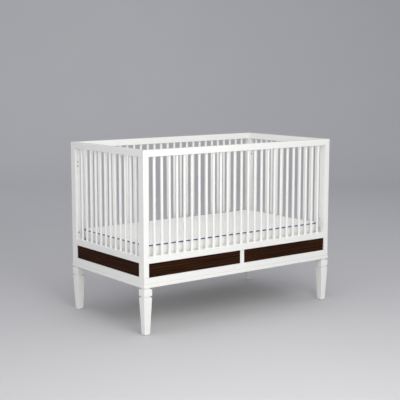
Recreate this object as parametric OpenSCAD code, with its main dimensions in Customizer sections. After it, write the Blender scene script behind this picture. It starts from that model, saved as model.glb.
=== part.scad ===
// Fixed-side baby crib: a ring of slatted sides on a mitred base frame and four tapered legs,
// with dark wooden panels below the mattress line and a slatted mattress support on four pins.
// Millimetres. X runs along the front to the right, Y to the back and Z up.
// The origin is on the floor, in the middle of the crib's footprint.

/* [Overall] */
// Outside length along the front
crib_l = 1400; // [1380:1:1440]
// Outside width, front to back
crib_w = 778; // [760:1:800]
// Height of the top rails' upper face above the floor
crib_h = 1025; // [990:1:1060]

/* [Posts and rails] */
// Size of a post along the front
post_x = 33.5; // [32:0.5:36]
// Size of a post from front to back
post_y = 50; // [48:0.5:56]
// Thickness of all the rails, seen from above
rail_t = 33.5; // [32:0.5:36]
// Height of the top rails
top_rail_h = 37.5; // [34:0.5:44]
// Height of the lower rails, above the panels
lower_rail_h = 36; // [34:0.5:44]

/* [Slats] */
// Diameter of the round slats
slat_d = 16; // [14:0.5:18]
// Number of slats in the front and in the rear
long_slats = 25; // [24:1:27]
// Number of slats in each end
end_slats = 12; // [12:1:13]
// Gap beside a post, as a multiple of the gap between slats
post_gap_ratio = 1.1; // [0.9:0.05:1.3]
// Diameter of the tenon at each end of a slat
tenon_d = 10; // [8:0.5:11]
// Length of the tenon at each end of a slat
tenon_l = 12; // [10:0.5:14]

/* [Base frame] */
// Height of the apron boards, without the moulding
apron_h = 37.5; // [34:0.5:44]
// Height of the moulding under the aprons
moulding_h = 19.5; // [16:0.5:24]
// How far the moulding stands proud of the aprons
moulding_out = 1.3; // [0.5:0.1:3]
// Height of the shadow line above the moulding
quirk_h = 2.6; // [1:0.1:3]
// Depth of the shadow line above the moulding
quirk_d = 3.2; // [1:0.1:4]

/* [Panels] */
// Height of a panel that shows between the apron and the lower rail
panel_h = 79; // [70:1:90]
// How far the panels are set back from the faces of the frame
panel_in = 7.5; // [6:0.5:10]
// Thickness of a panel
panel_t = 9; // [6:0.5:11]
// Depth of the grooves that hold the panels
groove_d = 8; // [6:0.5:9]
// Width of the mullion between two panels
mullion_w = 29.3; // [26:0.1:34]
// How far the mullions are set back from the faces of the frame
mullion_in = 5.5; // [4:0.5:5.5]

/* [Legs] */
// Height of a leg, from the floor to the moulding
leg_h = 266.5; // [240:0.5:290]
// Width of the square block at the top of a leg
leg_block_w = 53.6; // [52:0.1:56]
// Height of the block
leg_block_h = 37.5; // [30:0.5:42]
// Height of the neck above the block
leg_neck_h = 8; // [6:0.5:10]
// Set-back of the neck from the block's faces
leg_neck_in = 8.5; // [5:0.5:9]
// Height of the groove below the block
leg_groove_h = 9; // [6:0.5:11]
// Set-back of the groove from the block's faces
leg_groove_in = 5.5; // [3:0.5:7]
// Width of the shaft just below the groove
shaft_top_w = 53; // [48:0.5:53.5]
// Width of the shaft at the foot
shaft_foot_w = 34.5; // [30:0.5:40]
// Height of the nylon glide under a foot
glide_h = 2.5; // [2:0.5:4]
// Diameter of a glide
glide_d = 24; // [20:1:28]

/* [Mattress support] */
// Height of the support's slats above the floor in the lowest setting
support_top = 365; // [360:1:368]
// Number of heights that the support can be hung at
level_n = 4; // [3:1:4]
// Distance between two heights
level_step = 60; // [50:1:60]
// Height of the support's rails
support_rail_h = 45; // [40:1:48]
// Thickness of the support's rails
support_rail_t = 22; // [18:1:24]
// Number of slats across the support
support_slat_n = 13; // [11:1:13]
// Width of a support slat
support_slat_w = 62; // [50:1:70]
// Thickness of a support slat
support_slat_t = 12; // [10:1:14]
// Thickness of the steel brackets
bracket_t = 3; // [2:0.5:3]

/* [Mattress] */
// Length of the mattress
mattress_l = 1311; // [1290:1:1316]
// Width of the mattress
mattress_w = 691; // [670:1:696]
// Thickness of the mattress
mattress_h = 139.5; // [100:0.5:150]
// Radius of the mattress's upright corners
mattress_r = 30; // [20:1:60]
// Size of the piping's square section
piping_d = 3; // [2:0.5:4]

/* [Colours] */
// White lacquer
paint = "#F2F1ED"; // color
// Stained walnut
walnut = "#2E1C14"; // color
// Bare hardwood
bare_wood = "#C9A878"; // color
// Zinc-plated steel
steel = "#B4B6BA"; // color
// Brass
brass = "#C2A14D"; // color
// Nylon
nylon = "#D8D6D0"; // color
// Mattress cover
cover = "#F0F0F0"; // color
// Piping cord
cord = "#6E698C"; // color

/* [Hidden] */
$fn = 48;

// Left, right, front and rear as signs of X and Y, and the four sides as quarter turns
left = -1;
right = 1;
front = -1;
rear = 1;
front_side = 0;
right_side = 1;
rear_side = 2;
left_side = 3;

// Groove in each edge of a mullion
mullion_groove = 6;

// Working clearances
fit = 0.1;
thread_fit = 0.05;
slack = 0.2;
bite = 1;

// Heights
moulding_top = leg_h + moulding_h;
base_top = moulding_top + apron_h;
lower_rail_z = base_top + panel_h;
lower_rail_top = lower_rail_z + lower_rail_h;
top_rail_z = crib_h - top_rail_h;

// Joinery
dowel_d = 8;
dowel_half = 20;
dowel_play = 0.5;
// Places of the two dowels in a post's top, in from the end face and from the long face
end_dowel = [post_x / 2, post_y - 13];
long_dowel = [post_x - 9, 10];
// Heights of the dowels in the ends of the lower rails, above the rails' underside
long_rail_dowel_z = 22.5;
end_rail_dowel_z = 13.5;
rail_dowel_pitch = 16;

// Leg bolt, its insert in the post's foot, and its place in from the outer corner
leg_bolt_d = 8;
leg_bolt_at = [post_x / 2, post_y / 2];
leg_bolt_in_leg = 68;
leg_bolt_in_post = 26;
leg_bolt_z = leg_h - leg_bolt_in_leg;
leg_bolt_top = base_top + leg_bolt_in_post;
leg_insert_d = 12;
leg_insert_l = 28;
glide_nail_d = 3;
glide_nail_l = 14;
// Middle of a leg, in from the outer corner; its block is level with the moulding's face
leg_mid = leg_block_w / 2 - moulding_out;
shaft_top = leg_h - leg_neck_h - leg_block_h - leg_groove_h;

// Corner blocks inside the base frame
block_leg = 46;
block_lift = 4;
block_z = leg_h + block_lift;
block_h = 30;
block_screw_d = 4;
block_screw_head_d = 8;
block_screw_head_h = 2.5;
block_screw_l = 34;
// Places of the block's screws, in from the inner corner, and their height
block_screw_in = block_leg * 0.62;
block_screw_z = block_z + block_h * 0.72;
// Distance from the board to a screw head's seat, which is cut into the block's slanted face
block_seat_depth = 5;
block_reach = block_leg - block_screw_in - block_seat_depth;

// Conversion inserts in the posts, on the faces that look along the crib's width
insert_bore_d = 6;
conversion_z = [479, 882, 907];
conversion_insert_d = 10;
conversion_insert_l = 15;

// Pins and inserts that carry the mattress support
level_insert_d = 9;
level_insert_l = 14.5;
pin_d = 8;
pin_thread_l = 13;
pin_flange_d = 12;
pin_flange_t = 2;
pin_flange_gap = 2;
pin_drop = 25;
pin_z = support_top - pin_drop;
pin_y = crib_w / 2 - (rail_t + post_y) / 2;
post_face_x = crib_l / 2 - post_x;
post_face_y = crib_w / 2 - post_y;

// Mattress support
support_gap_x = 11.5;
support_gap_y = 7.5;
support_hx = post_face_x - support_gap_x;
support_hy = crib_w / 2 - rail_t - support_gap_y;
support_slat_z = support_top - support_slat_t;
support_rail_z = support_slat_z - support_rail_h;
support_screw_y = support_hy - support_rail_t / 2;
support_screw_d = 4;
support_screw_l = 25;
support_screw_head_d = 8.4;
support_screw_head_h = 3;
rebate_l = 12;
rebate_w = 7.5;
rebate_top = pin_z + 8;
// Brackets: a plate from y0 to y1 and z0 to z1 with a notch for the pin, and a ledge under the rail
bracket_y0 = support_hy - 56;
bracket_y1 = support_hy + 6;
bracket_z0 = pin_z - 24;
bracket_z1 = pin_z + 10;
bracket_notch_w = pin_d + 0.6;
bracket_ledge = 28;
bracket_screw_y = [support_hy - support_rail_t - 22, support_hy - 16];
bracket_screw_z = pin_z - 7;
bracket_screw_l = 18;
bracket_head_d = 8;
bracket_head_t = 2.2;

// Mattress
mattress_z = support_top + 0.3;
piping_inset = 10;
piping_low = mattress_z + piping_inset;
piping_high = mattress_z + mattress_h - piping_inset - piping_d;

function sides(s, long, short) = s % 2 == 0 ? long : short;
function side_len(s) = sides(s, crib_l, crib_w);
function side_off(s) = sides(s, crib_w, crib_l) / 2;
function side_post(s) = sides(s, post_x, post_y);
function side_span(s) = side_len(s) - 2 * side_post(s);
function slat_count(s) = sides(s, long_slats, end_slats);
function slat_gap(s) = (side_span(s) - slat_count(s) * slat_d)
    / (slat_count(s) - 1 + 2 * post_gap_ratio);
function slat_xs(s) = [
    for (i = [0 : slat_count(s) - 1]) (i - (slat_count(s) - 1) / 2) * (slat_gap(s) + slat_d)
];
function rail_dowel_z(s) = lower_rail_z + sides(s, long_rail_dowel_z, end_rail_dowel_z);
function support_slat_xs() = [
    for (i = [0 : support_slat_n - 1])
        (i / (support_slat_n - 1) - 0.5) * 2 * (support_hx - support_slat_w / 2 - rebate_l)
];

// ---- Placing ----

// Side s with its outer face at y = 0, +y inwards and x = 0 at its middle
module on_side(s) {
    rotate([0, 0, 90 * s])
        translate([0, -side_off(s), 0])
            children();
}

// Corner with its outer edge at x = 0, y = 0 and both axes pointing inwards
module on_corner(sx, sy) {
    translate([sx * crib_l / 2, sy * crib_w / 2, 0])
        mirror([sx > 0 ? 1 : 0, 0, 0])
            mirror([0, sy > 0 ? 1 : 0, 0])
                children();
}

// The quarter of the crib at +X and +Y, copied to the quarter of the given signs
module in_quarter(sx, sy) {
    mirror([sx < 0 ? 1 : 0, 0, 0])
        mirror([0, sy < 0 ? 1 : 0, 0])
            children();
}

module each_corner() {
    for (sx = [left, right])
        for (sy = [front, rear])
            on_corner(sx, sy)
                children();
}

module each_quarter() {
    for (sx = [left, right])
        for (sy = [front, rear])
            in_quarter(sx, sy)
                children();
}

// Round rod along X from x0 to x1
module rod_x(d, x0, x1) {
    translate([x0, 0, 0])
        rotate([0, 90, 0])
            cylinder(d = d, h = x1 - x0);
}

// Round rod along Y from y0 to y1
module rod_y(d, y0, y1) {
    translate([0, y1, 0])
        rotate([90, 0, 0])
            cylinder(d = d, h = y1 - y0);
}

// Board of side s with 45 degree ends, from z0 to z1, its outer face moved out by proud
module mitred_board(s, z0, z1, proud) {
    a = side_len(s) / 2 + proud;
    d = rail_t + proud;
    translate([0, 0, z0])
        linear_extrude(height = z1 - z0)
            polygon([[-a, -proud], [a, -proud], [a - d, rail_t], [d - a, rail_t]]);
}

// Groove that holds the panels of side s, cut into a rail from z0 to z1
module panel_groove(s, z0, z1) {
    l = side_span(s) + 2 * (groove_d + slack);
    translate([-l / 2, panel_in - slack / 2, z0])
        cube([l, panel_t + slack, z1 - z0]);
}

// Clearance hole for the leg bolts, through the end boards of the base
module leg_bolt_holes(s, z0, z1) {
    if (s % 2 == 1)
        for (e = [-1, 1])
            translate([e * (crib_w / 2 - leg_bolt_at[1]), leg_bolt_at[0], z0])
                cylinder(d = leg_bolt_d + 4 * fit, h = z1 - z0);
}

// ---- Sides of the crib ----

module post(sx, sy) {
    color(paint)
        difference() {
            on_corner(sx, sy)
                difference() {
                    translate([0, 0, base_top])
                        cube([post_x, post_y, top_rail_z - base_top]);
                    post_grooves();
                    post_dowel_holes();
                    translate([leg_bolt_at[0], leg_bolt_at[1], base_top - bite])
                        cylinder(d = leg_insert_d + fit, h = leg_insert_l + bite + dowel_play);
                }
            in_quarter(sx, sy)
                post_insert_holes();
        }
}

module post_grooves() {
    depth = groove_d + slack / 2;
    height = panel_h + groove_d + slack;
    translate([post_x - depth, panel_in - slack / 2, base_top - bite])
        cube([depth + bite, panel_t + slack, height + bite]);
    translate([panel_in - slack / 2, post_y - depth, base_top - bite])
        cube([panel_t + slack, depth + bite, height + bite]);
}

module post_dowel_holes() {
    hole_d = dowel_d + 2 * fit;
    depth = dowel_half + dowel_play;
    for (at = [end_dowel, long_dowel])
        translate([at[0], at[1], top_rail_z - depth])
            cylinder(d = hole_d, h = depth + bite);
    for (e = [-0.5, 0.5]) {
        translate([0, rail_t / 2 + e * rail_dowel_pitch, rail_dowel_z(front_side)])
            rod_x(hole_d, post_x - depth, post_x + bite);
        translate([rail_t / 2 + e * rail_dowel_pitch, 0, rail_dowel_z(left_side)])
            rod_y(hole_d, post_y - depth, post_y + bite);
    }
}

module post_insert_holes() {
    for (i = [0 : level_n - 1])
        translate([0, pin_y, pin_z + i * level_step])
            rod_x(level_insert_d + fit, post_face_x - bite, post_face_x + level_insert_l + fit);
    for (z = conversion_z)
        translate([crib_l / 2 - post_x / 2, 0, z])
            rod_y(conversion_insert_d + fit, post_face_y - bite,
                  post_face_y + conversion_insert_l + fit);
}

module top_rail(s) {
    at = sides(s, [long_dowel[0], long_dowel[1]], [end_dowel[1], end_dowel[0]]);
    color(paint)
        on_side(s)
            difference() {
                mitred_board(s, top_rail_z, crib_h, 0);
                tenon_holes(s, top_rail_z - bite, tenon_l + dowel_play + bite);
                for (e = [-1, 1])
                    translate([e * (side_len(s) / 2 - at[0]), at[1], top_rail_z - bite])
                        cylinder(d = dowel_d + 2 * fit, h = dowel_half + dowel_play + bite);
            }
}

module lower_rail(s) {
    l = side_span(s);
    depth = dowel_half + dowel_play;
    hole_d = dowel_d + 2 * fit;
    color(paint)
        on_side(s)
            difference() {
                translate([-l / 2, 0, lower_rail_z])
                    cube([l, rail_t, lower_rail_h]);
                tenon_holes(s, lower_rail_top - tenon_l - dowel_play, tenon_l + dowel_play + bite);
                panel_groove(s, lower_rail_z - bite, lower_rail_z + groove_d + slack);
                for (e = [-0.5, 0.5])
                    translate([0, rail_t / 2 + e * rail_dowel_pitch, rail_dowel_z(s)]) {
                        rod_x(hole_d, -l / 2 - bite, -l / 2 + depth);
                        rod_x(hole_d, l / 2 - depth, l / 2 + bite);
                    }
            }
}

module tenon_holes(s, z, depth) {
    for (x = slat_xs(s))
        translate([x, rail_t / 2, z])
            cylinder(d = tenon_d + 2 * fit, h = depth, $fn = 32);
}

module slats(s) {
    color(paint)
        on_side(s)
            for (x = slat_xs(s))
                translate([x, rail_t / 2, 0]) {
                    translate([0, 0, lower_rail_top])
                        cylinder(d = slat_d, h = top_rail_z - lower_rail_top, $fn = 32);
                    translate([0, 0, lower_rail_top - tenon_l])
                        cylinder(d = tenon_d, h = top_rail_z - lower_rail_top + 2 * tenon_l,
                                 $fn = 32);
                }
}

module post_dowels() {
    color(bare_wood)
        each_corner()
            for (at = [end_dowel, long_dowel])
                translate([at[0], at[1], top_rail_z - dowel_half])
                    cylinder(d = dowel_d, h = 2 * dowel_half);
}

module rail_dowels() {
    color(bare_wood)
        each_corner()
            for (e = [-0.5, 0.5]) {
                translate([0, rail_t / 2 + e * rail_dowel_pitch, rail_dowel_z(front_side)])
                    rod_x(dowel_d, post_x - dowel_half, post_x + dowel_half);
                translate([rail_t / 2 + e * rail_dowel_pitch, 0, rail_dowel_z(left_side)])
                    rod_y(dowel_d, post_y - dowel_half, post_y + dowel_half);
            }
}

// ---- Base frame ----

module apron(s) {
    color(paint)
        on_side(s)
            difference() {
                union() {
                    mitred_board(s, moulding_top + quirk_h, base_top, 0);
                    mitred_board(s, moulding_top, moulding_top + quirk_h, -quirk_d);
                }
                panel_groove(s, base_top - groove_d - slack, base_top + bite);
                leg_bolt_holes(s, moulding_top - bite, base_top + bite);
                block_screw_holes(s);
            }
}

module moulding(s) {
    color(paint)
        on_side(s)
            difference() {
                mitred_board(s, leg_h, moulding_top, moulding_out);
                leg_bolt_holes(s, leg_h - bite, moulding_top + bite);
                block_screw_holes(s);
            }
}

module block_screw_holes(s) {
    for (e = [-1, 1])
        translate([e * (side_len(s) / 2 - rail_t - block_screw_in), 0, block_screw_z])
            rod_y(block_screw_d + fit, rail_t + block_reach - block_screw_l - slack, rail_t + bite);
}

module corner_block_shape() {
    difference() {
        translate([rail_t, rail_t, block_z])
            linear_extrude(height = block_h)
                polygon([[0, 0], [block_leg, 0], [0, block_leg]]);
        block_screw_pair(block_screw_d + fit, block_screw_head_d + 1, block_leg);
    }
}

// The block's two screws: a shank into the board, and a head of length head_l at its seat
module block_screw_pair(shank_d, head_d, head_l) {
    seat = rail_t + block_reach;
    translate([rail_t + block_screw_in, 0, block_screw_z]) {
        rod_y(shank_d, seat - block_screw_l, seat);
        rod_y(head_d, seat, seat + head_l);
    }
    translate([0, rail_t + block_screw_in, block_screw_z]) {
        rod_x(shank_d, seat - block_screw_l, seat);
        rod_x(head_d, seat, seat + head_l);
    }
}

module corner_blocks() {
    color(bare_wood)
        each_corner()
            corner_block_shape();
}

module corner_block_screws() {
    color(steel)
        each_corner()
            block_screw_pair(block_screw_d, block_screw_head_d, block_screw_head_h);
}

// ---- Panels ----

module panel_board(s, x0, x1) {
    translate([x0, panel_in, base_top - groove_d])
        cube([x1 - x0, panel_t, panel_h + 2 * groove_d]);
}

// One of the two panels of a long side: half is -1 for the one at smaller x
module half_panel(s, half) {
    outer = side_span(s) / 2 + groove_d;
    inner = mullion_w / 2 - mullion_groove;
    color(walnut)
        on_side(s)
            panel_board(s, half < 0 ? -outer : inner, half < 0 ? -inner : outer);
}

module end_panel(s) {
    outer = side_span(s) / 2 + groove_d;
    color(walnut)
        on_side(s)
            panel_board(s, -outer, outer);
}

module mullion(s) {
    web = mullion_w - 2 * mullion_groove - slack;
    cut_w = panel_t + slack;
    color(paint)
        on_side(s)
            difference() {
                union() {
                    translate([-mullion_w / 2, mullion_in, base_top])
                        cube([mullion_w, rail_t - mullion_in, panel_h]);
                    translate([-web / 2, panel_in, base_top - groove_d])
                        cube([web, panel_t, panel_h + 2 * groove_d]);
                }
                for (e = [-1, 1])
                    translate([e * (web + mullion_w) / 2, panel_in + panel_t / 2, base_top - bite])
                        linear_extrude(height = panel_h + 2 * bite)
                            square([mullion_w, cut_w], center = true);
            }
}

// ---- Legs ----

// Square length of a leg, from z0 to z1, with its faces inset from the block's
module leg_square(inset, z0, z1) {
    translate([leg_mid, leg_mid, z0])
        linear_extrude(height = z1 - z0)
            square(leg_block_w - 2 * inset, center = true);
}

module leg(sx, sy) {
    color(paint)
        on_corner(sx, sy)
            difference() {
                union() {
                    leg_square(leg_neck_in, leg_h - leg_neck_h, leg_h);
                    leg_square(0, shaft_top + leg_groove_h, leg_h - leg_neck_h);
                    leg_square(leg_groove_in, shaft_top, shaft_top + leg_groove_h);
                    translate([leg_mid, leg_mid, glide_h])
                        linear_extrude(height = shaft_top - glide_h,
                                       scale = shaft_top_w / shaft_foot_w)
                            square(shaft_foot_w, center = true);
                }
                translate([leg_bolt_at[0], leg_bolt_at[1], leg_bolt_z - dowel_play])
                    cylinder(d = leg_bolt_d + fit, h = leg_h - leg_bolt_z + dowel_play + bite);
                translate([leg_mid, leg_mid, glide_h - bite])
                    cylinder(d = glide_nail_d + fit, h = glide_nail_l + bite + dowel_play);
            }
}

module leg_glides() {
    color(nylon)
        each_corner()
            translate([leg_mid, leg_mid, 0]) {
                cylinder(d = glide_d, h = glide_h);
                cylinder(d = glide_nail_d, h = glide_h + glide_nail_l);
            }
}

module leg_bolts() {
    color(steel)
        each_corner()
            translate([leg_bolt_at[0], leg_bolt_at[1], leg_bolt_z])
                cylinder(d = leg_bolt_d, h = leg_bolt_top - leg_bolt_z);
}

module leg_inserts() {
    color(brass)
        each_corner()
            translate([leg_bolt_at[0], leg_bolt_at[1], base_top])
                difference() {
                    cylinder(d = leg_insert_d, h = leg_insert_l);
                    translate([0, 0, -bite])
                        cylinder(d = leg_bolt_d + 2 * thread_fit, h = leg_insert_l + 2 * bite);
                }
}

// ---- Inserts and pins in the posts ----

module level_inserts() {
    color(brass)
        each_quarter()
            for (i = [0 : level_n - 1])
                translate([post_face_x, pin_y, pin_z + i * level_step])
                    difference() {
                        rod_x(level_insert_d, 0, level_insert_l);
                        rod_x(insert_bore_d + 2 * thread_fit, -bite, level_insert_l + bite);
                    }
}

module conversion_inserts() {
    color(brass)
        each_quarter()
            for (z = conversion_z)
                translate([crib_l / 2 - post_x / 2, post_face_y, z])
                    difference() {
                        rod_y(conversion_insert_d, 0, conversion_insert_l);
                        rod_y(insert_bore_d + 2 * thread_fit, -bite, conversion_insert_l + bite);
                    }
}

module support_pins() {
    color(steel)
        each_quarter()
            translate([0, pin_y, pin_z]) {
                flange_x = support_hx - pin_flange_gap - pin_flange_t;
                rod_x(insert_bore_d, post_face_x - bite, post_face_x + pin_thread_l);
                rod_x(pin_d, flange_x, post_face_x);
                rod_x(pin_flange_d, flange_x, flange_x + pin_flange_t);
            }
}

// ---- Mattress support ----

module support_side_rail(sy) {
    color(bare_wood)
        difference() {
            in_quarter(right, sy)
                translate([-support_hx, support_hy - support_rail_t, support_rail_z])
                    cube([2 * support_hx, support_rail_t, support_rail_h]);
            for (sx = [left, right])
                in_quarter(sx, sy) {
                    translate([support_hx - rebate_l, support_hy - rebate_w, support_rail_z - bite])
                        cube([rebate_l + bite, rebate_w + bite, rebate_top - support_rail_z + bite]);
                    bracket_screw_hole(1);
                }
            for (x = support_slat_xs())
                translate([x, sy * support_screw_y, support_top - support_screw_l - slack])
                    cylinder(d = support_screw_d + fit, h = support_screw_l);
        }
}

module support_end_rail(sx) {
    inner = support_hy - support_rail_t;
    color(bare_wood)
        difference() {
            in_quarter(sx, rear)
                translate([support_hx - support_rail_t, -inner, support_rail_z])
                    cube([support_rail_t, 2 * inner, support_rail_h]);
            for (sy = [front, rear])
                in_quarter(sx, sy)
                    bracket_screw_hole(0);
        }
}

module bracket_screw_hole(i) {
    translate([0, bracket_screw_y[i], bracket_screw_z])
        rod_x(support_screw_d + fit, support_hx - bracket_screw_l - slack,
              support_hx + 2 * bracket_t);
}

module support_slats() {
    color(bare_wood)
        for (x = support_slat_xs())
            difference() {
                translate([x - support_slat_w / 2, -support_hy, support_slat_z])
                    cube([support_slat_w, 2 * support_hy, support_slat_t]);
                for (sy = [front, rear])
                    translate([x, sy * support_screw_y, 0])
                        support_screw_shape(fit);
            }
}

// Countersunk screw with its head flush with the slats; grow makes the hole that it sits in
module support_screw_shape(grow) {
    translate([0, 0, support_top - support_screw_l - grow])
        cylinder(d = support_screw_d + grow, h = support_screw_l);
    translate([0, 0, support_top - support_screw_head_h])
        cylinder(d1 = support_screw_d + grow, d2 = support_screw_head_d + grow,
                 h = support_screw_head_h + grow / 10);
}

module support_slat_screws() {
    color(steel)
        for (x = support_slat_xs())
            for (sy = [front, rear])
                translate([x, sy * support_screw_y, 0])
                    support_screw_shape(0);
}

module support_brackets() {
    ledge_w = support_hy - support_rail_t - bracket_y0;
    ledge_z = support_rail_z - bracket_t;
    color(steel)
        each_quarter()
            difference() {
                union() {
                    translate([support_hx, bracket_y0, bracket_z0])
                        cube([bracket_t, bracket_y1 - bracket_y0, bracket_z1 - bracket_z0]);
                    translate([support_hx, bracket_y0, ledge_z])
                        cube([bracket_t, ledge_w, bracket_z0 - ledge_z + bite]);
                    translate([support_hx - bracket_ledge, bracket_y0, ledge_z])
                        cube([bracket_ledge + bite, ledge_w, bracket_t]);
                }
                translate([support_hx - bite, pin_y - bracket_notch_w / 2, bracket_z0 - bite])
                    cube([bracket_t + 2 * bite, bracket_notch_w,
                          pin_z + bracket_notch_w / 2 - bracket_z0 + bite]);
                for (i = [0, 1])
                    bracket_screw_hole(i);
            }
}

module bracket_screws() {
    color(steel)
        each_quarter()
            for (y = bracket_screw_y)
                translate([0, y, bracket_screw_z]) {
                    rod_x(support_screw_d, support_hx - bracket_screw_l, support_hx + bracket_t + bite);
                    rod_x(bracket_head_d, support_hx + bracket_t,
                          support_hx + bracket_t + bracket_head_t);
                }
}

// ---- Mattress ----

// Rounded rectangle, grown outwards by grow
module mattress_outline(grow) {
    l = mattress_l + 2 * grow;
    w = mattress_w + 2 * grow;
    r = mattress_r + grow;
    square([l, w - 2 * r], center = true);
    square([l - 2 * r, w], center = true);
    for (sx = [left, right])
        for (sy = [front, rear])
            translate([sx * (l / 2 - r), sy * (w / 2 - r)])
                circle(r = r);
}

module mattress() {
    color(cover)
        translate([0, 0, mattress_z])
            linear_extrude(height = mattress_h)
                mattress_outline(0);
}

module mattress_piping(z) {
    color(cord)
        translate([0, 0, z])
            linear_extrude(height = piping_d)
                difference() {
                    mattress_outline(piping_d);
                    mattress_outline(0);
                }
}

post(left, front);  // post_front_left
post(right, front);  // post_front_right
post(left, rear);  // post_rear_left
post(right, rear);  // post_rear_right
top_rail(front_side);  // top_rail_front
top_rail(rear_side);  // top_rail_rear
top_rail(left_side);  // top_rail_left
top_rail(right_side);  // top_rail_right
lower_rail(front_side);  // lower_rail_front
lower_rail(rear_side);  // lower_rail_rear
lower_rail(left_side);  // lower_rail_left
lower_rail(right_side);  // lower_rail_right
slats(front_side);  // slats_front
slats(rear_side);  // slats_rear
slats(left_side);  // slats_left
slats(right_side);  // slats_right
apron(front_side);  // apron_front
apron(rear_side);  // apron_rear
apron(left_side);  // apron_left
apron(right_side);  // apron_right
moulding(front_side);  // moulding_front
moulding(rear_side);  // moulding_rear
moulding(left_side);  // moulding_left
moulding(right_side);  // moulding_right
half_panel(front_side, -1);  // panel_front_left
half_panel(front_side, 1);  // panel_front_right
half_panel(rear_side, 1);  // panel_rear_left
half_panel(rear_side, -1);  // panel_rear_right
end_panel(left_side);  // panel_left
end_panel(right_side);  // panel_right
mullion(front_side);  // mullion_front
mullion(rear_side);  // mullion_rear
leg(left, front);  // leg_front_left
leg(right, front);  // leg_front_right
leg(left, rear);  // leg_rear_left
leg(right, rear);  // leg_rear_right
leg_glides();
leg_bolts();
leg_inserts();
corner_blocks();
corner_block_screws();
post_dowels();
rail_dowels();
level_inserts();
conversion_inserts();
support_pins();
support_side_rail(front);  // support_rail_front
support_side_rail(rear);  // support_rail_rear
support_end_rail(left);  // support_rail_left
support_end_rail(right);  // support_rail_right
support_slats();
support_slat_screws();
support_brackets();
bracket_screws();
mattress();
mattress_piping(piping_high);  // mattress_piping_top
mattress_piping(piping_low);  // mattress_piping_bottom
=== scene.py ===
"""Fixed-side baby crib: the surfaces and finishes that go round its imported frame.

Metres. X runs along the front to the right, Y to the back and Z up, with the origin on the
floor in the middle of the crib. Sizes and places are read from the frame's nodes. What is
drawn in here is how each edge is eased, how the parts meet, and what they are finished with.
"""

import functools
import math

import bpy
import numpy as np
from mathutils import Matrix, Vector


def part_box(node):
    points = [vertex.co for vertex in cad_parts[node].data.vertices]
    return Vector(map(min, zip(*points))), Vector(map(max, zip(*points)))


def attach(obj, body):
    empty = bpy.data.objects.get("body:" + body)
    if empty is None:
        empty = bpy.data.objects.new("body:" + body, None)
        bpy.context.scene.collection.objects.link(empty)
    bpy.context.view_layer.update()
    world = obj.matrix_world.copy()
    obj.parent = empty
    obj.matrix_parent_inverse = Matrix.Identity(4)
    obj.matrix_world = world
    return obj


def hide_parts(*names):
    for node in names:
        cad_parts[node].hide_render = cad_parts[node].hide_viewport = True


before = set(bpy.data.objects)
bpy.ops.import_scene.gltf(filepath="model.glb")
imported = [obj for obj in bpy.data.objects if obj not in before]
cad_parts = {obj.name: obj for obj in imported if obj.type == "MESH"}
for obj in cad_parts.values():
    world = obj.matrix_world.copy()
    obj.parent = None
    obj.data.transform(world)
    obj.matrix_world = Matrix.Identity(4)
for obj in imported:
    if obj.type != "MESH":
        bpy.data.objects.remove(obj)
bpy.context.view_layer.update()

bl_info = {
    "name": "Baby Crib",
    "version": (1, 0, 0),
    "blender": (4, 5, 0),
    "location": "3D View > Sidebar > Crib",
    "description": "Builds the lacquered frame, walnut panels, support and mattress of a baby crib",
    "category": "Object",
}

SIDES = ("front", "right", "rear", "left")
CORNERS = {"front_left": (-1, -1), "front_right": (1, -1), "rear_left": (-1, 1), "rear_right": (1, 1)}
MM = 0.001
MATTRESS_CORNER = 30 * MM
COVER_INSET = 3.5 * MM


# ---------------------------------------------------------------- sizes from the frame

def size_of(node):
    """Lowest and highest corners of a node, as arrays."""
    low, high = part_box(node)
    return np.array(low), np.array(high)


POST_LOW, POST_HIGH = size_of("post_front_left")
HALF_L = -POST_LOW[0]
HALF_W = -POST_LOW[1]
POST_X = POST_HIGH[0] - POST_LOW[0]
POST_Y = POST_HIGH[1] - POST_LOW[1]


def side_length(side):
    """Outside length of side number side, measured over the posts."""
    return 2 * (HALF_W if side % 2 else HALF_L)


def side_depth(side):
    """Distance from the middle of the crib to the outer face of a side."""
    return HALF_L if side % 2 else HALF_W


def post_along(side):
    """Size of a post along a side."""
    return POST_Y if side % 2 else POST_X


def reaches(node, side):
    """How far a node of a side starts and ends from the middle of the crib, across the side."""
    sign, axis = (1 if side in (1, 2) else -1), (side + 1) % 2
    return sorted(float(sign * corner[axis]) for corner in size_of(node))


def thickness(node, side):
    """Thickness of a node of a side, across the side."""
    inner, outer = reaches(node, side)
    return outer - inner


def coordinates_of(mesh):
    """A mesh's corners as an array."""
    points = np.empty(len(mesh.vertices) * 3)
    mesh.vertices.foreach_get("co", points)
    return points.reshape(-1, 3)


def shell_boxes(node):
    """Lowest and highest corners of each loose shell of a node.

    A shell is found by joining the corners that share an edge: each takes the lowest number
    among its neighbours until none changes.
    """
    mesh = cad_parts[node].data
    points = coordinates_of(mesh)
    places = np.round(points / (0.05 * MM)).astype(np.int64)
    label = np.unique(places, axis=0, return_inverse=True)[1].ravel()
    edges = np.empty(len(mesh.edges) * 2, np.int32)
    mesh.edges.foreach_get("vertices", edges)
    ends = label[edges.reshape(-1, 2)]
    shell = np.arange(label.max() + 1)
    while True:
        lower = shell.copy()
        np.minimum.at(lower, ends[:, 0], shell[ends[:, 1]])
        np.minimum.at(lower, ends[:, 1], shell[ends[:, 0]])
        lower = lower[lower]
        if (lower == shell).all():
            break
        shell = lower
    group = shell[label]
    return [(points[group == g].min(0), points[group == g].max(0)) for g in np.unique(group)]


def on_side(points, side):
    """Turns points by a quarter turn for each side and moves them out to it.

    A side's own axes are x along it, y inwards from its outer face and z up.
    """
    return turned(points - np.array([0, side_depth(side), 0]), side)


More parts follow.
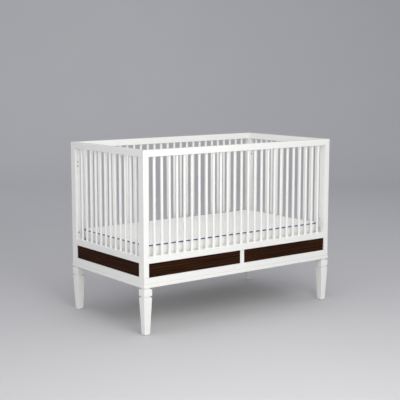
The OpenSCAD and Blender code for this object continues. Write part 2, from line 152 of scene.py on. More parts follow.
def turned(vectors, side):
    """The same quarter turns for directions, which don't move."""
    turn = side * math.pi / 2
    x, y = vectors[..., 0], vectors[..., 1]
    return np.stack((x * math.cos(turn) - y * math.sin(turn),
                     x * math.sin(turn) + y * math.cos(turn), vectors[..., 2]), axis=-1)


# ---------------------------------------------------------------- outlines

def eased_outline(corners, radii, steps=4, closed=True):
    """A polygon whose corners are arcs that touch both of their edges.

    At a corner that turns by angle a, the arc of radius r starts r tan(a / 2) before it. Its
    normals turn evenly from the first edge's to the second's, and each point is the arc's
    centre plus r times its normal. Corners run anticlockwise, with the outside on their right.
    Returns the points and their outward normals.
    """
    corners = np.asarray(corners, float)
    radii = np.broadcast_to(np.asarray(radii, float), len(corners))
    points, normals = [], []
    share = np.linspace(0, 1, steps + 1)
    for i, corner in enumerate(corners):
        if not closed and i in (0, len(corners) - 1):
            other = corners[1] - corner if i == 0 else corner - corners[i - 1]
            other = other / np.linalg.norm(other)
            points.append(corner[None])
            normals.append(np.array([[other[1], -other[0]]]))
            continue
        into = corner - corners[i - 1]
        out = corners[(i + 1) % len(corners)] - corner
        into = into / np.linalg.norm(into)
        out = out / np.linalg.norm(out)
        turn = math.atan2(into[0] * out[1] - into[1] * out[0], float(into @ out))
        bend = math.copysign(1.0, turn)
        start = corner - into * radii[i] * math.tan(abs(turn) / 2)
        first = np.array([into[1], -into[0]])
        angle = share * turn
        normal = np.stack((first[0] * np.cos(angle) - first[1] * np.sin(angle),
                           first[0] * np.sin(angle) + first[1] * np.cos(angle)), axis=-1)
        points.append(start - bend * radii[i] * first + bend * radii[i] * normal)
        normals.append(normal)
    return np.concatenate(points), np.concatenate(normals)


def box_outline(low, high, radius, steps=4):
    """Rectangle from low to high with its corners eased."""
    corners = [(low[0], low[1]), (high[0], low[1]), (high[0], high[1]), (low[0], high[1])]
    return eased_outline(corners, radius, steps)


# ---------------------------------------------------------------- meshes

def grid_faces(rows, columns):
    """Corner numbers of the quads of a grid whose columns go round, and each quad's column."""
    row, column = np.divmod(np.arange((rows - 1) * columns), columns)
    after = (column + 1) % columns
    quads = np.stack((row * columns + column, row * columns + after,
                      (row + 1) * columns + after, (row + 1) * columns + column), axis=-1)
    return quads, column


def smooth_mesh(name, points, faces, uv=None):
    """A smooth-shaded mesh of points and faces, with a UV map in metres where uv is given."""
    mesh = bpy.data.meshes.new(name)
    mesh.from_pydata(points.reshape(-1, 3).tolist(), [], faces, shade_flat=False)
    if uv is not None:
        mesh.uv_layers.new(name="UVMap").data.foreach_set("uv", uv.astype(np.float32).ravel())
    return mesh


def mesh_from_parts(name, parts):
    """One mesh from closed tubes, each a dict with points, normals and uv on a grid.

    Quads join the grid's rows, and a single face closes each end. The normals are stored, so
    flat faces shade flat and arcs shade round. The last column's quads end at uv_end, the
    outline's whole length, so the pattern doesn't run back over them.
    """
    points, normals, faces, uvs = [], [], [], []
    base = 0
    for part in parts:
        rows, columns = part["points"].shape[:2]
        quads, column = grid_faces(rows, columns)
        quad_uv = part["uv"].reshape(-1, 2)[quads]
        quad_uv[column == columns - 1, 1:3, 1] = part["uv_end"]
        faces += (quads + base).tolist()
        uvs.append(quad_uv.reshape(-1, 2))
        for end in (np.arange(columns)[::-1], (rows - 1) * columns + np.arange(columns)):
            faces.append((end + base).tolist())
            uvs.append(part["cap_uv"][end % columns])
        points.append(part["points"].reshape(-1, 3))
        normals.append(part["normals"].reshape(-1, 3))
        base += rows * columns
    mesh = smooth_mesh(name, np.concatenate(points), faces, np.concatenate(uvs))
    mesh.validate()
    mesh.normals_split_custom_set_from_vertices(np.concatenate(normals).tolist())
    return mesh


def outline_lengths(points):
    """Distance round an outline to each of its points, and its whole length."""
    steps = np.linalg.norm(np.roll(points, -1, axis=0) - points, axis=1)
    return np.concatenate(([0.0], np.cumsum(steps)[:-1])), float(steps.sum())


def carried(outline, x0, x1, eases, slopes=(0.0, 0.0), steps=3):
    """An outline in y and z carried along x from x0 to x1, with its end edges rounded.

    Near an end the outline moves in by e(1 - sin t) while it is e(1 - cos t) from the end, for
    t from 0 to a quarter turn. A slope of 1 cuts an end at 45 degrees: x there grows with y.
    """
    points, normals = outline
    t = np.linspace(0, math.pi / 2, steps + 1)
    rings = []
    for x, sign, slope, ease, angles in zip((x0, x1), (1, -1), slopes, eases, (t, t[::-1])):
        inset = ease * (1 - np.sin(angles))[:, None, None]
        yz = points[None] - inset * normals[None]
        along = x + sign * (ease * (1 - np.cos(angles))[:, None] + slope * yz[..., 0])
        end = np.array([-sign, slope, 0.0]) / math.hypot(1, slope)
        flat = np.concatenate((np.zeros((len(points), 1)), normals), axis=1)
        normal = np.cos(angles)[:, None, None] * end + np.sin(angles)[:, None, None] * flat[None]
        rings.append((np.concatenate((along[..., None], yz), axis=-1), normal))
    grid, normal = (np.concatenate(ring) for ring in zip(*rings))
    normal = normal / np.linalg.norm(normal, axis=-1, keepdims=True)
    lengths, whole = outline_lengths(points)
    uv = np.stack((grid[..., 0], np.broadcast_to(lengths, grid.shape[:2])), axis=-1)
    return {"points": grid, "normals": normal, "uv": uv, "uv_end": whole, "cap_uv": points.copy()}


def moved(part, side):
    """A part in a side's own axes, put in its place on the crib."""
    return dict(part, points=on_side(part["points"], side), normals=turned(part["normals"], side))


def axes_swapped(part, order):
    """A part whose x, y and z go to the axes that order names, such as (2, 0, 1).

    An order is a cyclic one, so that faces still point outwards.
    """
    back = np.argsort(order)
    return dict(part, points=part["points"][..., back], normals=part["normals"][..., back])


def lathed(profile, steps, centre, corner=None):
    """A profile of distance from the axis and height, carried round an upright axis.

    Where corner is None the section is a circle in that many steps. Otherwise it is a square
    with corners of that radius: a point is its corner's centre, the distance less the radius
    along both axes, plus the radius times its normal.
    """
    points, normals = profile
    if corner is None:
        angle = np.linspace(0, 2 * math.pi, steps, endpoint=False)
        across = np.stack((np.cos(angle), np.sin(angle)), axis=-1)
        ring = points[:, 0, None, None] * across[None]
    else:
        _, across = box_outline((-1, -1), (1, 1), 0.5, steps)
        quarter = np.repeat(np.array([(-1, -1), (1, -1), (1, 1), (-1, 1)], float), steps + 1, axis=0)
        ring = (points[:, 0, None, None] - corner) * quarter[None] + corner * across[None]
    height = np.broadcast_to(points[:, 1, None, None], ring.shape[:2] + (1,))
    grid = np.concatenate((ring + np.asarray(centre), height), axis=-1)
    normal = np.concatenate((normals[:, 0, None, None] * across[None],
                             np.broadcast_to(normals[:, 1, None, None], ring.shape[:2] + (1,))), axis=-1)
    lengths, whole = outline_lengths(ring[len(ring) // 2])
    uv = np.stack((grid[..., 2], np.broadcast_to(lengths, grid.shape[:2])), axis=-1)
    return {"points": grid, "normals": normal, "uv": uv, "uv_end": whole, "cap_uv": ring[0]}


def add_object(mesh):
    """Links a mesh to the scene as an object of the same name, at the origin."""
    piece = bpy.data.objects.new(mesh.name, mesh)
    bpy.context.scene.collection.objects.link(piece)
    return piece


def finish_piece(piece, material, slot, body, *nodes):
    """Gives a piece its material and body, and hides the nodes it stands for. Its slot is not used."""
    piece.data.materials.clear()
    piece.data.materials.append(material)
    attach(piece, body)
    if nodes:
        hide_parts(*nodes)
    return piece


def lacquered(node, *parts):
    """A white lacquered piece of the fixed frame that stands for a node."""
    piece = add_object(mesh_from_parts("lacquer_" + node, parts))
    return finish_piece(piece, shared(white_lacquer), "white_lacquer", "root", node)


def evaluated_mesh(piece):
    """A copy of a piece's mesh with its modifiers applied."""
    graph = bpy.context.evaluated_depsgraph_get()
    return bpy.data.meshes.new_from_object(piece.evaluated_get(graph), depsgraph=graph)


def apply_modifiers(piece):
    """Puts the piece's mesh with its modifiers applied in place of its mesh, and drops them."""
    mesh, old = evaluated_mesh(piece), piece.data
    piece.modifiers.clear()
    piece.data = mesh
    bpy.data.meshes.remove(old)
    mesh.name = piece.name
    return mesh


def cut_out(piece, parts, weight):
    """Cuts closed parts out of a piece, and keeps its flat faces flat."""
    cutter = add_object(mesh_from_parts("cutter", parts))
    cut = piece.modifiers.new("Cut", "BOOLEAN")
    cut.operation = "DIFFERENCE"
    cut.solver = "EXACT"
    cut.object = cutter
    mesh = apply_modifiers(piece)
    bpy.data.objects.remove(cutter)
    mesh.set_sharp_from_angle(angle=math.radians(40))
    flat = piece.modifiers.new("Flat faces", "WEIGHTED_NORMAL")
    flat.keep_sharp = True
    flat.weight = weight


# ---------------------------------------------------------------- shader groups

def new_group(name, inputs, outputs):
    """An empty node group with float, colour or vector sockets, and its two end nodes."""
    kinds = {"f": "NodeSocketFloat", "c": "NodeSocketColor", "v": "NodeSocketVector"}
    group = bpy.data.node_groups.new(name, "ShaderNodeTree")
    for label, kind, value in inputs:
        socket = group.interface.new_socket(label, in_out="INPUT", socket_type=kinds[kind])
        if value is not None:
            socket.default_value = value
    for label, kind in outputs:
        group.interface.new_socket(label, in_out="OUTPUT", socket_type=kinds[kind])
    return group, group.nodes.new("NodeGroupInput"), group.nodes.new("NodeGroupOutput")


class Wiring:
    """Short ways to add and join nodes in one tree."""

    def __init__(self, tree):
        self.tree = tree

    def node(self, kind, values=None, **settings):
        """A node with its settings and its input values, given by name or number."""
        made = self.tree.nodes.new("ShaderNode" + kind)
        for key, value in settings.items():
            setattr(made, key, value)
        for key, value in (values or {}).items():
            self.put(value, made.inputs[key])
        return made

    def put(self, value, socket):
        """Joins a socket to another, or sets its value."""
        if isinstance(value, bpy.types.NodeSocket):
            self.tree.links.new(value, socket)
        else:
            socket.default_value = value

    def math(self, operation, first, second=0.0, third=0.0):
        """A Math node's result."""
        return self.node("Math", {0: first, 1: second, 2: third}, operation=operation).outputs[0]

    def noise(self, vector, scale, detail=2.0, rough=0.5, stretch=None):
        """A Noise Texture's value, with its pattern stretched by a Mapping node."""
        if stretch is not None:
            vector = self.node("Mapping", {"Vector": vector, "Scale": stretch}).outputs[0]
        values = {"Vector": vector, "Scale": scale, "Detail": detail, "Roughness": rough}
        return self.node("TexNoise", values).outputs["Fac"]

    def spread(self, value, low, high, to_low=0.0, to_high=1.0):
        """A value moved from one range to another, held at the ends."""
        made = self.node("MapRange", {"Value": value, "From Min": low, "From Max": high,
                                      "To Min": to_low, "To Max": to_high})
        return made.outputs[0]

    def mix(self, share, first, second):
        """A mix of two colours."""
        return self.node("Mix", {0: share, 6: first, 7: second}, data_type="RGBA").outputs[2]


def film_group():
    """Sprayed lacquer: faint cloudy tone and fine orange peel."""
    group, start, end = new_group(
        "Lacquer film",
        [("Vector", "v", None), ("Colour", "c", (1, 1, 1, 1)), ("Tint", "c", (1, 1, 1, 1)),
         ("Tint share", "f", 0.3), ("Roughness", "f", 0.35), ("Roughness spread", "f", 0.08)],
        [("Colour", "c"), ("Roughness", "f"), ("Height", "f")])
    w = Wiring(group)
    vector = start.outputs["Vector"]
    cloud = w.noise(vector, 3.5, 4.0, 0.6)
    share = w.math("MULTIPLY", w.spread(cloud, 0.35, 0.7), start.outputs["Tint share"])
    w.put(w.mix(share, start.outputs["Colour"], start.outputs["Tint"]), end.inputs["Colour"])
    smear = w.spread(w.noise(vector, 18.0, 3.0, 0.6), 0.3, 0.7, -1.0, 1.0)
    rough = w.math("MULTIPLY_ADD", smear, start.outputs["Roughness spread"], start.outputs["Roughness"])
    w.put(rough, end.inputs["Roughness"])
    peel = w.noise(vector, 420.0, 1.5, 0.5)
    wave = w.noise(vector, 60.0, 1.0, 0.5)
    w.put(w.math("ADD", peel, w.math("MULTIPLY", wave, 1.4)), end.inputs["Height"])
    return group


def grain_group():
    """Straight-grained wood: growth bands bent by slow noise, fine pores and ray flecks along u."""
    group, start, end = new_group(
        "Wood grain",
        [("Vector", "v", None), ("Light", "c", (1, 1, 1, 1)), ("Middle", "c", (1, 1, 1, 1)),
         ("Dark", "c", (0, 0, 0, 1)), ("Bands", "f", 60.0), ("Wander", "f", 0.02),
         ("Pore share", "f", 0.5), ("Roughness", "f", 0.4)],
        [("Colour", "c"), ("Roughness", "f"), ("Height", "f")])
    w = Wiring(group)
    vector = start.outputs["Vector"]
    parts = w.node("SeparateXYZ", {0: vector})
    sway = w.noise(vector, 1.0, 2.0, 0.5, stretch=(1.1, 7.0, 7.0))
    sway = w.math("SUBTRACT", sway, 0.5)
    across = w.math("MULTIPLY_ADD", sway, start.outputs["Wander"], parts.outputs[1])
    turns = w.math("MULTIPLY", start.outputs["Bands"], 2 * math.pi)
    bands = w.math("SINE", w.math("MULTIPLY", across, turns))
    figure = w.noise(vector, 1.0, 6.0, 0.7, stretch=(2.6, 210.0, 210.0))
    tone = w.math("ADD", w.math("MULTIPLY", bands, 0.07), figure)
    colour = w.mix(w.spread(tone, 0.32, 0.52), start.outputs["Dark"], start.outputs["Middle"])
    colour = w.mix(w.spread(tone, 0.5, 0.75), colour, start.outputs["Light"])
    pores = w.noise(vector, 1.0, 2.0, 0.5, stretch=(38.0, 1500.0, 1500.0))
    pore = w.math("MULTIPLY", w.spread(pores, 0.58, 0.72), start.outputs["Pore share"])
    w.put(w.mix(pore, colour, start.outputs["Dark"]), end.inputs["Colour"])
    w.put(w.math("MULTIPLY_ADD", w.spread(tone, 0.3, 0.8, 1.0, -1.0), 0.05, start.outputs["Roughness"]),
          end.inputs["Roughness"])
    w.put(w.math("SUBTRACT", w.math("MULTIPLY", tone, 0.3), pore), end.inputs["Height"])
    return group


def weave_group():
    """Plain weave: two crossed sets of threads, each a raised cosine, over and under in turn, with painted
    shade (the darker gap colour) where the weave is low between the threads.
    """
    group, start, end = new_group(
        "Plain weave",
        [("Vector", "v", None), ("Threads", "f", 900.0), ("Slub", "f", 0.25),
         ("Warp", "c", (1, 1, 1, 1)), ("Weft", "c", (1, 1, 1, 1)), ("Gap", "c", (0.5, 0.5, 0.5, 1))],
        [("Colour", "c"), ("Height", "f")])
    w = Wiring(group)
    vector = start.outputs["Vector"]
    wobble = w.noise(vector, 14.0, 2.0, 0.5)
    parts = w.node("SeparateXYZ", {0: vector})
    turns = w.math("MULTIPLY", start.outputs["Threads"], math.pi)
    drift = w.math("MULTIPLY", wobble, 0.004)
    u = w.math("MULTIPLY", w.math("ADD", parts.outputs[0], drift), turns)
    v = w.math("MULTIPLY", w.math("ADD", parts.outputs[1], drift), turns)
    over = w.math("MULTIPLY", w.math("SINE", u), w.math("SINE", v))
    warp = w.math("ABSOLUTE", w.math("SINE", u))
    weft = w.math("ABSOLUTE", w.math("SINE", v))
    top = w.math("GREATER_THAN", over, 0.0)
    under = w.math("MULTIPLY", w.math("SUBTRACT", 1.0, top), weft)
    slub = w.noise(vector, 1.0, 2.0, 0.5, stretch=(40.0, 420.0, 420.0))
    height = w.math("MULTIPLY_ADD", slub, start.outputs["Slub"], w.math("MULTIPLY_ADD", top, warp, under))
    w.put(height, end.inputs["Height"])
    thread = w.mix(top, start.outputs["Weft"], start.outputs["Warp"])
    # Where the weave is low, between the threads, the colour turns darker towards the gap colour, which is
    # painted shade.
    w.put(w.mix(w.spread(height, 0.05, 0.55), start.outputs["Gap"], thread), end.inputs["Colour"])
    return group


def metal_group():
    """Plated or turned metal: cloudy tone and fine streaks that break up the gloss."""
    group, start, end = new_group(
        "Metal face",
        [("Vector", "v", None), ("Bright", "c", (1, 1, 1, 1)), ("Dull", "c", (0.5, 0.5, 0.5, 1)),
         ("Roughness", "f", 0.3), ("Streaks", "f", 260.0)],
        [("Colour", "c"), ("Roughness", "f"), ("Height", "f")])
    w = Wiring(group)
    vector = start.outputs["Vector"]
    cloud = w.noise(vector, 55.0, 4.0, 0.65)
    tone = w.mix(w.spread(cloud, 0.35, 0.7), start.outputs["Bright"], start.outputs["Dull"])
    w.put(tone, end.inputs["Colour"])
    streak = w.noise(vector, start.outputs["Streaks"], 2.0, 0.6, stretch=(1.0, 1.0, 9.0))
    w.put(w.math("MULTIPLY_ADD", w.math("SUBTRACT", streak, 0.5), 0.3, start.outputs["Roughness"]),
          end.inputs["Roughness"])
    w.put(w.math("ADD", streak, w.math("MULTIPLY", cloud, 0.6)), end.inputs["Height"])
    return group


# ---------------------------------------------------------------- materials

@functools.cache
def shared(make):
    """A node group or material, made once by its maker and then found again."""
    return make()


def solid(colour, factor=1.0):
    """A colour property as a four-part colour, made darker or lighter."""
    return tuple(min(1.0, c * factor) for c in tuple(colour)[:3]) + (1.0,)


def new_material(name):
    """A material with an empty tree but for its Principled BSDF and output."""
    material = bpy.data.materials.new(name)
    material.use_nodes = True
    return material, Wiring(material.node_tree), material.node_tree.nodes["Principled BSDF"]


def grouped_material(name, maker, space, values, bump, settings=()):
    """A material whose colour, roughness and bump come from a shader group.

    The group reads the Object or UV space and has its own values. The bump is its strength and
    distance, and the settings are the constants on the shader's own sockets.
    """
    material, w, shader = new_material(name)
    group = w.node("Group", node_tree=shared(maker))
    for key, value in dict(values, Vector=w.node("TexCoord").outputs[space]).items():
        w.put(value, group.inputs[key])
    w.put(group.outputs["Colour"], shader.inputs["Base Color"])
    if "Roughness" in group.outputs:
        w.put(group.outputs["Roughness"], shader.inputs["Roughness"])
    strength, distance = bump
    bumped = w.node("Bump", {"Strength": strength, "Distance": distance, "Height": group.outputs["Height"]})
    w.put(bumped.outputs[0], shader.inputs["Normal"])
    for key, value in dict(settings).items():
        shader.inputs[key].default_value = value
    return material


def white_lacquer():
    """White satin lacquer over hardwood."""
    looks = bpy.context.scene.crib_looks
    values = {"Colour": solid(looks.lacquer), "Tint": solid(looks.lacquer, 0.965), "Tint share": 0.6,
              "Roughness": looks.lacquer_roughness, "Roughness spread": 0.05}
    return grouped_material("White lacquer", film_group, "Object", values, (0.12, 0.00012),
                            {"IOR": 1.5, "Coat Weight": 0.15, "Coat Roughness": 0.22})


def stained_walnut():
    """Walnut with a very dark stain under satin lacquer, its grain along the panel."""
    stain = bpy.context.scene.crib_looks.walnut
    values = {"Light": solid(stain, 3.0), "Middle": solid(stain), "Dark": solid(stain, 0.18),
              "Bands": 70.0, "Wander": 0.03, "Pore share": 0.7, "Roughness": 0.5}
    return grouped_material("Stained walnut", grain_group, "UV", values, (0.25, 0.00015),
                            {"Specular IOR Level": 0.03})


def bare_beech():
    """Clear-coated beech for the mattress support, its grain along the piece."""
    wood = bpy.context.scene.crib_looks.beech
    values = {"Light": solid(wood, 1.12), "Middle": solid(wood), "Dark": solid(wood, 0.66),
              "Bands": 38.0, "Wander": 0.05, "Pore share": 0.35, "Roughness": 0.45}
    return grouped_material("Clear coated beech", grain_group, "UV", values, (0.2, 0.0001))


def beech_block():
    """The same beech for pieces with no UV map, its grain along their longest way, X."""
    wood = bpy.context.scene.crib_looks.beech
    values = {"Light": solid(wood, 1.1), "Middle": solid(wood, 0.98), "Dark": solid(wood, 0.64),
              "Bands": 45.0, "Wander": 0.04, "Pore share": 0.3, "Roughness": 0.5}
    return grouped_material("Beech block", grain_group, "Object", values, (0.2, 0.0001))


def metal(name, colour, roughness, streaks):
    """A metal with its tone, gloss and streaks."""
    values = {"Bright": solid(colour, 1.1), "Dull": solid(colour, 0.8), "Roughness": roughness,
              "Streaks": streaks}
    return grouped_material(name, metal_group, "Object", values, (0.15, 0.00005), {"Metallic": 1.0})


def zinc_steel():
    """Zinc-plated steel for the bolts, screws, pins and brackets."""
    return metal("Zinc plated steel", bpy.context.scene.crib_looks.steel, 0.34, 300.0)


def plated_brass():
    """Nickel-plated brass for the threaded inserts."""
    return metal("Nickel plated brass", bpy.context.scene.crib_looks.brass, 0.3, 500.0)


def moulded_nylon():
    """Moulded nylon for the glides under the feet."""
    nylon = bpy.context.scene.crib_looks.nylon
    values = {"Colour": solid(nylon), "Tint": solid(nylon, 0.85), "Tint share": 0.6, "Roughness": 0.5,
              "Roughness spread": 0.1}
    return grouped_material("Moulded nylon", film_group, "Object", values, (0.3, 0.0002))


def mattress_cotton():
    """White cotton cover: plain weave on the piece's own map, with soft sheen."""
    cotton = bpy.context.scene.crib_looks.cover
    # The gap colour is painted shade between the threads.
    values = {"Threads": 700.0, "Slub": 0.35, "Warp": solid(cotton), "Weft": solid(cotton, 0.97),
              "Gap": solid(cotton, 0.8)}
    return grouped_material("Mattress cotton", weave_group, "UV", values, (0.35, 0.0003),
                            {"Roughness": 0.85, "Sheen Weight": 0.25, "Sheen Roughness": 0.5})


def piping_twill():
    """Blue-violet piping, its threads across the cord."""
    cord = bpy.context.scene.crib_looks.piping
    # The gap colour is painted shade between the threads.
    values = {"Threads": 1100.0, "Slub": 0.3, "Warp": solid(cord, 1.15), "Weft": solid(cord),
              "Gap": solid(cord, 0.5)}
    return grouped_material("Piping twill", weave_group, "UV", values, (0.4, 0.0003),
                            {"Roughness": 0.8, "Sheen Weight": 0.2})


def studio_paper():
    """Plain pale floor and backdrop, with the faint mottle of painted board."""
    stage = bpy.context.scene.crib_stage
    material, w, shader = new_material("Studio floor")
    mottle = w.spread(w.noise(w.node("TexCoord").outputs["Object"], 1.6, 3.0, 0.5), 0.3, 0.7)
    colour = w.mix(mottle, solid(stage.floor_colour), solid(stage.floor_colour, 0.985))
    w.put(colour, shader.inputs["Base Color"])
    shader.inputs["Roughness"].default_value = 0.75
    shader.inputs["Specular IOR Level"].default_value = 0.2
    return material


# ---------------------------------------------------------------- settings

def a_length(name, description, default, low, high):
    """A length setting in metres, with its default and its range."""
    return bpy.props.FloatProperty(name=name, description=description, default=default, min=low, max=high,
                                   unit="LENGTH")


def a_colour(name, description, default):
    """A colour setting with its default."""
    return bpy.props.FloatVectorProperty(name=name, description=description, default=default, min=0, max=1,
                                         size=3, subtype="COLOR")


class CribShape(bpy.types.PropertyGroup):
    """How the crib's parts are eased and joined."""

    edge: a_length("Eased edge", "Radius of the long edges of posts and rails", 0.0018, 0.0005, 0.004)
    joint: a_length("Joint edge", "Radius of the edges where two parts meet, which shows as a fine line",
                    0.0007, 0.0002, 0.0015)
    foot_joint: a_length("Post foot joint", "Radius of the edges where a post stands on the base frame",
                         0.0030, 0.0002, 0.004)
    moulding_edge: a_length("Moulding edge", "Radius of the moulding's outer edges", 0.004, 0.001, 0.008)
    leg_corner: a_length("Leg corner", "Radius of a leg's upright corners", 0.0022, 0.001, 0.004)
    leg_cut: a_length("Leg groove cut", "Extra depth of the groove below a leg's block",
                      0.0015, 0.0, 0.003)
    leg_step: a_length("Leg step", "Radius of the steps at a leg's groove and neck",
                       0.0012, 0.0005, 0.002)
    slat_fillet: a_length("Slat fillet", "Paint fillet where a slat meets a rail", 0.0009, 0.0, 0.002)
    swell: a_length("Mattress swell", "Furthest that the mattress cover swells outwards",
                    0.007, 0.0, 0.01)
    tuck: a_length("Mattress tuck", "How far the mattress's sides draw in towards the bottom",
                   0.012, 0.0, 0.03)
    piping: a_length("Piping", "Radius of the piping cord", 0.0033, 0.001, 0.004)


class CribLooks(bpy.types.PropertyGroup):
    """Colours and gloss."""

    lacquer: a_colour("Lacquer", "White lacquer of the frame", (0.86, 0.86, 0.835))
    lacquer_roughness: bpy.props.FloatProperty(
        name="Lacquer roughness", description="0 is a mirror, 1 is matt",
        default=0.36, min=0.05, max=1, subtype="FACTOR")
    walnut: a_colour("Walnut", "Stained walnut of the panels", (0.0260, 0.0092, 0.0038))
    beech: a_colour("Beech", "Bare wood of the mattress support", (0.70, 0.63, 0.53))
    steel: a_colour("Steel", "Zinc-plated hardware", (0.60, 0.61, 0.63))
    brass: a_colour("Plated brass", "Threaded inserts", (0.72, 0.69, 0.63))
    nylon: a_colour("Nylon", "Glides under the feet", (0.70, 0.69, 0.66))
    cover: a_colour("Cover", "Cotton cover of the mattress", (0.92, 0.92, 0.90))
    piping: a_colour("Piping", "Piping cord of the mattress", (0.050, 0.042, 0.19))


class CribStage(bpy.types.PropertyGroup):
    """Camera, floor and lights."""

    camera_at: bpy.props.FloatVectorProperty(
        name="Camera place", description="Where the camera stands", subtype="TRANSLATION",
        size=3, default=(-3.4827, -4.5434, 1.4489), unit="LENGTH")
    camera_yaw: bpy.props.FloatProperty(
        name="Camera turn", description="Turn of the camera from straight back towards the right",
        default=0.6511, subtype="ANGLE")
    camera_pitch: bpy.props.FloatProperty(
        name="Camera tilt", description="Tilt of the camera below level", default=0.1376, subtype="ANGLE")
    camera_lens: bpy.props.FloatProperty(
        name="Lens", description="Focal length in millimetres on a 36 mm sensor",
        default=84.24, min=10, max=300)
    floor_colour: a_colour("Floor", "Colour of the floor and backdrop", (0.569, 0.570, 0.586))
    light_level: bpy.props.FloatProperty(
        name="Lights", description="How bright the lamps are, where 1 is the usual level",
        default=1.0, min=0.0, max=4.0, subtype="FACTOR")
    sky_level: bpy.props.FloatProperty(
        name="Room light", description="Strength of the even light from all round",
        default=0.52, min=0.0, max=4.0)


def shape():
    """The shape settings."""
    return bpy.context.scene.crib_shape


# ---------------------------------------------------------------- frame pieces

def mitred_part(side, outline, joint):
    """An outline of a side in y and z, carried between two 45 degree corners."""
    half = side_length(side) / 2
    return moved(carried(outline, -half, half, slopes=(1.0, 1.0), eases=(joint, joint)), side)


def box_part(low, high, axis, radius, end_ease):
    """A box with its long edges eased by radius and its ends by end_ease, its length along axis."""
    order = ((0, 1, 2), (1, 2, 0), (2, 0, 1))[axis]
    a, b = order[1:]
    outline = box_outline((low[a], low[b]), (high[a], high[b]), radius)
    return axes_swapped(carried(outline, low[axis], high[axis], eases=(end_ease, end_ease)), order)


def shifted_grain(part, along, across):
    """A part whose wood grain starts at another place, so that like boards differ."""
    return dict(part, uv=part["uv"] + np.array([along, across]), uv_end=part["uv_end"] + across)


class CRIB_OT_posts(bpy.types.Operator):
    """Adds the four corner posts, with holes for their inserts."""

    bl_idname = "crib.posts"
    bl_label = "Posts"

    def execute(self, context):
        for corner in CORNERS:
            node = "post_" + corner
            low, high = size_of(node)
            outline = box_outline(low[:2], high[:2], shape().edge)
            part = carried(outline, low[2], high[2], eases=(shape().foot_joint, shape().joint))
            piece = add_object(mesh_from_parts("lacquer_" + node, [axes_swapped(part, (2, 0, 1))]))
            holes = [self.hole(start, stop) for inserts in ("level_inserts", "conversion_inserts")
                     for start, stop in shell_boxes(inserts)
                     if ((start + stop) / 2 > low).all() and ((start + stop) / 2 < high).all()]
            cut_out(piece, holes, 100)
            finish_piece(piece, shared(white_lacquer), "white_lacquer", "root", node)
        return {"FINISHED"}

    def hole(self, start, stop):
        """A cylinder as wide as an insert, from its inner end to just outside the post's face.

        The insert's axis is the one along which its size differs from the other two.
        """
        middle, span = (start + stop) / 2, stop - start
        axis = int(np.argmin(np.abs(span - np.median(span)) < 0.2 * MM))
        across = [a for a in range(3) if a != axis]
        radius = span[across].mean() / 2
        outward = -np.sign(middle[axis])
        reach = sorted((middle[axis] - outward * (span[axis] / 2 + 0.1 * MM),
                        middle[axis] + outward * (span[axis] / 2 + 2 * MM)))
        angle = np.linspace(0, 2 * math.pi, 48, endpoint=False)
        normal = np.stack((np.cos(angle), np.sin(angle)), axis=-1)
        part = carried((radius * normal, normal), *reach, eases=(0.01 * MM, 0.01 * MM), steps=1)
        part = axes_swapped(part, ((0, 1, 2), (1, 2, 0))[axis])
        middle[axis] = 0
        return dict(part, points=part["points"] + middle)


class CRIB_OT_top_rails(bpy.types.Operator):
    """Adds the ring of mitred top rails."""

    bl_idname = "crib.top_rails"
    bl_label = "Top rails"

    def execute(self, context):
        for side, name in enumerate(SIDES):
            node = "top_rail_" + name
            low, high = size_of(node)
            outline = box_outline((0, low[2]), (thickness(node, side), high[2]), shape().edge)
            lacquered(node, mitred_part(side, outline, shape().joint))
        return {"FINISHED"}


class CRIB_OT_lower_rails(bpy.types.Operator):
    """Adds the lower rails between the posts."""

    bl_idname = "crib.lower_rails"
    bl_label = "Lower rails"

    def execute(self, context):
        joint = shape().joint
        for side, name in enumerate(SIDES):
            node = "lower_rail_" + name
            low, high = size_of(node)
            inner, outer = reaches(node, side)
            depth = side_depth(side)
            outline = box_outline((depth - outer, low[2]), (depth - inner, high[2]), shape().edge)
            half = side_length(side) / 2 - post_along(side)
            lacquered(node, moved(carried(outline, -half, half, eases=(joint, joint)), side))
        return {"FINISHED"}


class CRIB_OT_slats(bpy.types.Operator):
    """Adds the round slats of each side, with a small paint fillet at each end."""

    bl_idname = "crib.slats"
    bl_label = "Slats"

    def execute(self, context):
        fillet = shape().slat_fillet
        seat = 0.5 * MM
        for side, name in enumerate(SIDES):
            node = "slats_" + name
            bottom = size_of("lower_rail_" + name)[1][2]
            top = size_of("top_rail_" + name)[0][2]
            radius = thickness(node, side) / 2
            wide = radius + fillet
            corners = [(wide, bottom - seat), (wide, bottom), (radius, bottom + 3 * fillet),
                       (radius, top - 3 * fillet), (wide, top), (wide, top + seat)]
            radii = np.array((0, 0.3, 2, 2, 0.3, 0)) * MM
            profile = eased_outline(corners, radii, 2, closed=False)
            places = [((low + high) / 2)[:2] for low, high in shell_boxes(node)]
            lacquered(node, *[lathed(profile, 24, place) for place in places])
        return {"FINISHED"}


